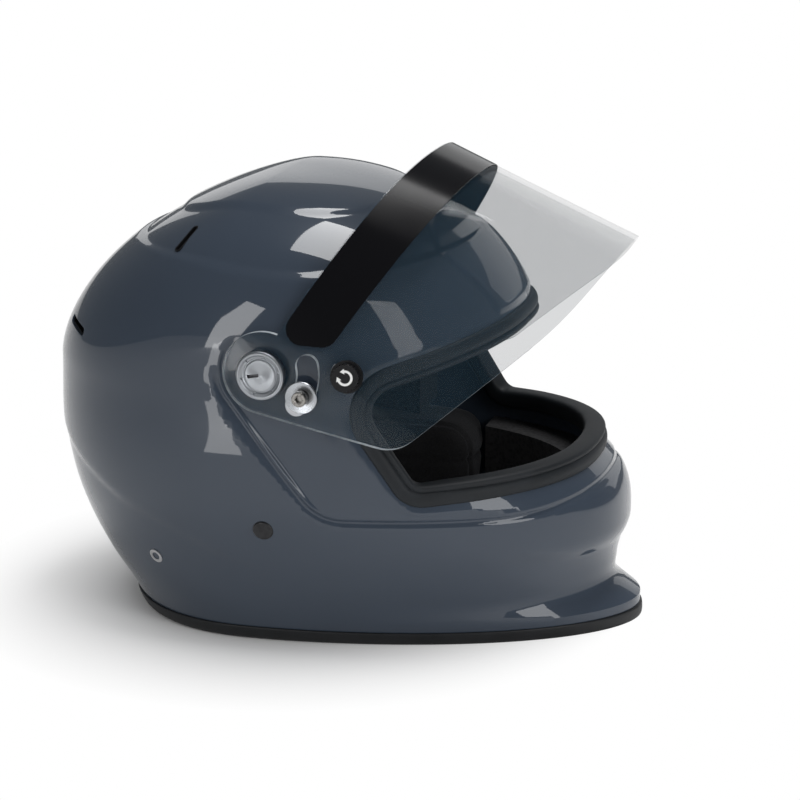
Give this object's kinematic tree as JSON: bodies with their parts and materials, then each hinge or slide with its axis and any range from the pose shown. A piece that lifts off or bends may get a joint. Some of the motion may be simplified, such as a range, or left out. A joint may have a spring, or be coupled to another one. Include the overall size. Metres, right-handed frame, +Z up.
{
  "type": "auto racing helmet",
  "caption": "Full-face auto racing helmet with a raised clear visor on side pivots, curved stop slots, a turning lock dial, padded liner, chin strap and threaded anchor inserts",
  "frame": {"origin": "in the middle plane under the crown, at the level of the base trim's underside, in the middle of the neck opening", "axes": "+X towards the front of the helmet, +Y towards the wearer's left, +Z up through the crown"},
  "size_m": [0.3568, 0.2758, 0.2764],
  "materials": {
    "shell": "gloss",
    "liner": "matte foam",
    "padding": "knitted fabric over foam",
    "gasket": "matte",
    "trim": "satin",
    "webbing": "woven",
    "steel": "brushed",
    "alloy": "machined",
    "black_alloy": "black",
    "black_plastic": "satin",
    "visor": "clear gloss",
    "strip": "gloss film",
    "mark": "white"
  },
  "bodies": {
    "helmet": {"outer_shell": "shell", "impact_liner": "liner", "chin_bar_liner": "liner", "crown_pad": "padding", "brow_pad": "padding", "nape_pad": "padding", "cheek_pad_right": "padding", "cheek_pad_left": "padding", "neck_roll": "padding", "strap_pad_right": "padding", "strap_pad_left": "padding", "eyeport_gasket": "gasket", "base_trim": "trim", "chin_strap_right": "webbing", "chin_strap_left": "webbing", "strap_hangers": "steel", "strap_rivets": "black_alloy", "anchor_inserts": "black_alloy", "crown_vent_inserts": "black_plastic", "rear_vent_inserts": "black_plastic", "pivot_insert_right": "alloy", "pivot_insert_left": "alloy", "stop_insert_right": "alloy", "stop_insert_left": "alloy", "pivot_screw_right": "alloy", "pivot_screw_left": "alloy", "stop_washer_right": "alloy", "stop_washer_left": "alloy", "stop_screw_right": "alloy", "stop_screw_left": "alloy", "stop_block_right": "alloy", "stop_block_left": "alloy", "pivot_bush_right": "black_plastic", "pivot_bush_left": "black_plastic", "lock_catch": "alloy"},
    "visor": {"visor": "visor", "visor_strip": "strip", "dial_bezel": "alloy"},
    "lock_dial": {"lock_dial": "black_plastic", "dial_arrow": "mark", "dial_hook": "alloy"},
    "d_rings": {"d_rings": "steel"}
  },
  "joints": [
    {"name": "visor_hinge", "type": "hinge", "parent": "helmet", "child": "visor", "pos_m": [0.0255, 0, 0.1695], "axis": [0, 1, 0], "range_deg": [0, 40]},
    {"name": "dial_turn", "type": "hinge", "parent": "visor", "child": "lock_dial", "pos_m": [0.07328, -0.1286, 0.17043], "axis": [0.1103, -0.9861, 0.1246], "range_deg": [0, 90]},
    {"name": "d_ring_swing", "type": "hinge", "parent": "helmet", "child": "d_rings", "pos_m": [0.0222, -0.036, 0.008], "axis": [1, 0, 0], "range_deg": [0, 90]}
  ]
}
